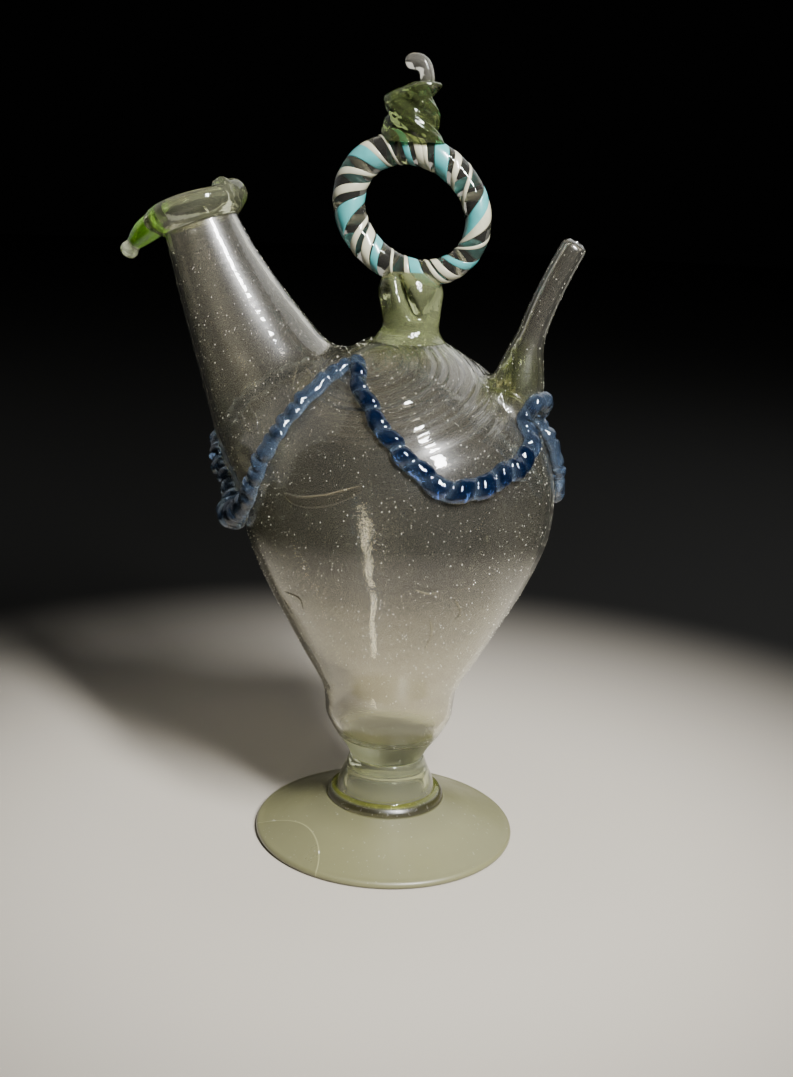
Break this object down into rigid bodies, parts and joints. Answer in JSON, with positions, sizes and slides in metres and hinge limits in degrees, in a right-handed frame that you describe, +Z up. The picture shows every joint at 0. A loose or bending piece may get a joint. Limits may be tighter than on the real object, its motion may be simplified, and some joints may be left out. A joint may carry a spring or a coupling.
{
  "type": "holy water jug",
  "caption": "Blown glass holy water jug with a hollow body, wide filling spout, thin pouring spout, trumpet foot, twisted ring handle with a curled finial and a pinched blue trail",
  "frame": {"origin": "on the table, midway between the bead of the green drop and the pouring spout's tip, in the plane of the spouts; the jug's own axis stands 26.8 mm towards +X", "axes": "+Z up along the jug's axis, +X towards the pouring spout, -X towards the filling spout, -Y the side the picture shows"},
  "size_m": [0.183, 0.1186, 0.3],
  "materials": {
    "clear_glass": "clear",
    "foot_glass": "hazy",
    "green_glass": "clear",
    "cobalt_glass": "clear",
    "green_tinted_glass": "clear",
    "twisted_cane": "gloss"
  },
  "bodies": {
    "root": {"vessel": "clear_glass", "filling_spout": "clear_glass", "pouring_spout": "clear_glass", "foot": "foot_glass", "mouth_lip": "clear_glass", "green_prunt": "green_glass", "blue_trail": "cobalt_glass", "handle_post": "green_tinted_glass", "ring_handle": "twisted_cane", "finial": "green_tinted_glass"}
  },
  "joints": []
}
